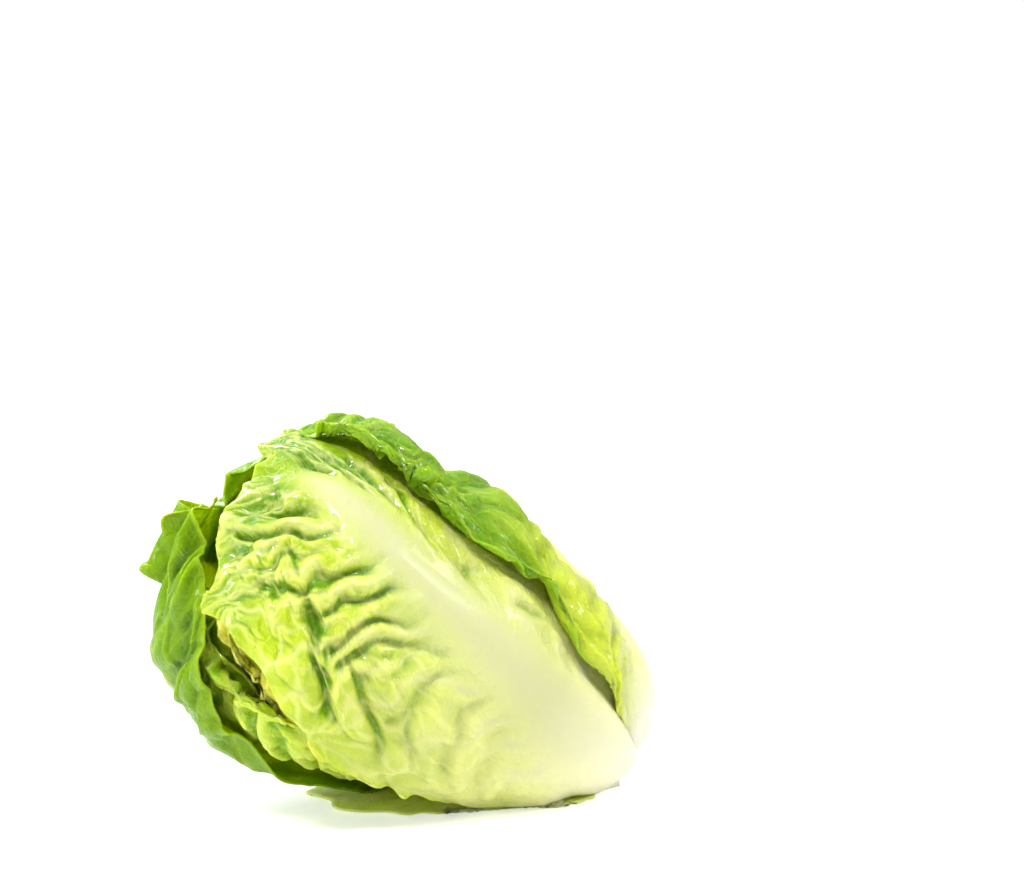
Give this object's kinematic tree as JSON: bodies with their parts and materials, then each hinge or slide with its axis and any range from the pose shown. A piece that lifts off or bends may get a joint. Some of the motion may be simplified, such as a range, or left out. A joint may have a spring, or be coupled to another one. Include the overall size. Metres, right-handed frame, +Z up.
{
  "type": "baby lettuce",
  "caption": "Baby lettuce head lying on its side: crinkled green leaves with thick pale midribs wrapped around a yellow heart on a trimmed stem, for salads, kitchens and market displays.",
  "frame": {"origin": "a point of the flattened patch under the lowest leaf, near the patch's middle, on the surface that the head lies on", "axes": "+Z up; X along the head, the trimmed stem end to +X and the crown to -X and up; the broad pale midrib that shows faces -Y"},
  "size_m": [0.1154, 0.085, 0.088],
  "materials": {
    "outer_leaf": "moist satin, green blade crinkled between pale veins",
    "inner_leaf": "moist satin, yellow-green blade with a cream midrib",
    "heart_leaf": "moist satin, yellow and tightly crinkled",
    "stem": "damp cut face with a browned rim"
  },
  "bodies": {
    "root": {"cut_stem": "stem", "under_leaf": "outer_leaf", "back_leaf": "outer_leaf", "front_leaf": "outer_leaf", "left_leaf": "outer_leaf", "lower_leaf": "outer_leaf", "middle_leaf_01": "inner_leaf", "middle_leaf_02": "inner_leaf", "middle_leaf_03": "inner_leaf", "middle_leaf_04": "inner_leaf", "middle_leaf_05": "inner_leaf", "middle_leaf_06": "inner_leaf", "middle_leaf_07": "inner_leaf", "middle_leaf_08": "inner_leaf", "heart_leaf_01": "heart_leaf", "heart_leaf_02": "heart_leaf", "heart_leaf_03": "heart_leaf", "heart_leaf_04": "heart_leaf", "heart_leaf_05": "heart_leaf", "heart_leaf_06": "heart_leaf", "heart_leaf_07": "heart_leaf", "heart_leaf_08": "heart_leaf"}
  },
  "joints": []
}
